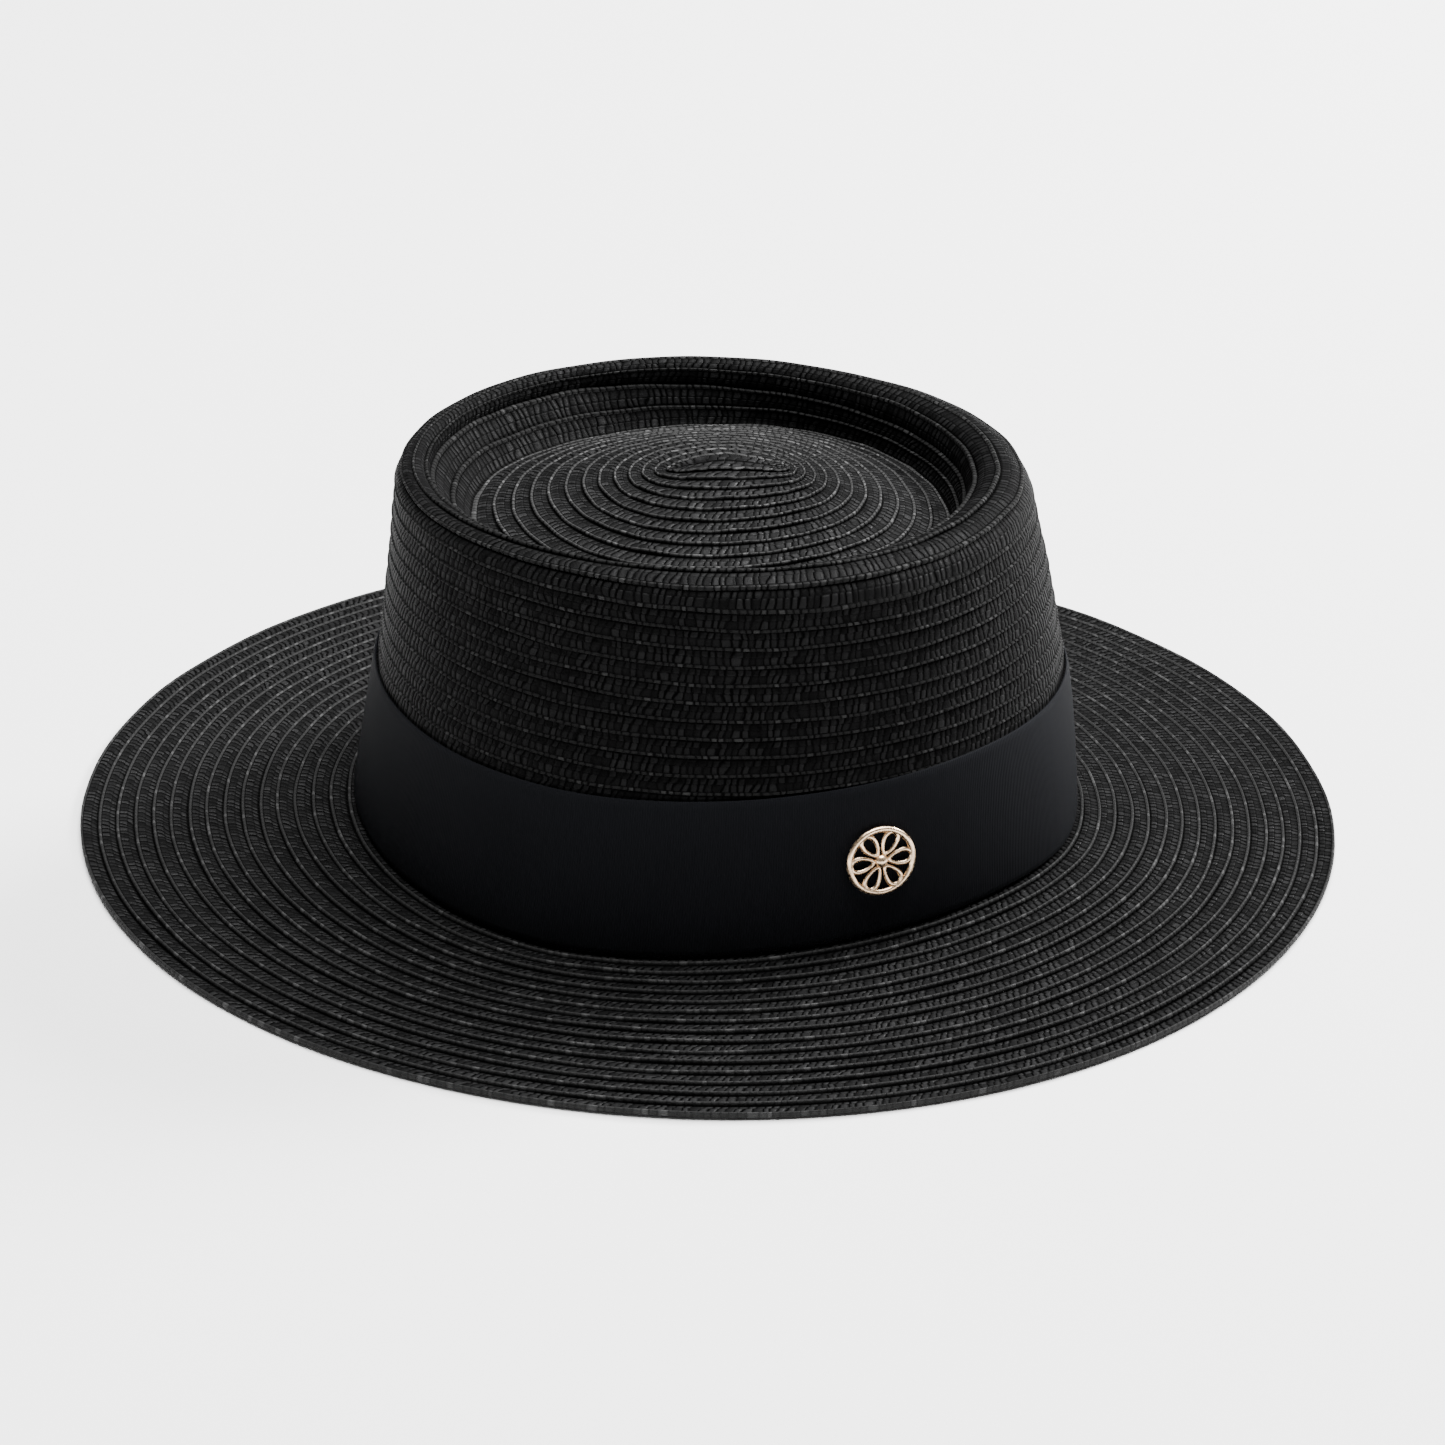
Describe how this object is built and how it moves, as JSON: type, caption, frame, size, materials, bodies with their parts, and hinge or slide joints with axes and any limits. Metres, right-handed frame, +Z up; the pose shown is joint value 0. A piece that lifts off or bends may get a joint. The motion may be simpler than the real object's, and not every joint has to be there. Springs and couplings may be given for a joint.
{
  "type": "straw boater hat",
  "caption": "Straw boater hat with a level brim, a low crown with a rolled lip and sunken domed top, a ribbon band and a round pierced metal badge.",
  "frame": {"origin": "centre of the brim, on the surface that the level edge of the brim rests on", "axes": "+Z up, +Y to the back of the hat, +X to the wearer's left"},
  "size_m": [0.3194, 0.3392, 0.1015],
  "materials": {
    "straw": "sewn paper braid, near black, slight sheen",
    "ribbon": "matt grosgrain ribbon, blue black",
    "badge_metal": "polished pale gold"
  },
  "bodies": {
    "root": {"brim": "straw", "crown": "straw", "crown_top": "straw", "hat_band": "ribbon", "badge": "badge_metal"}
  },
  "joints": []
}
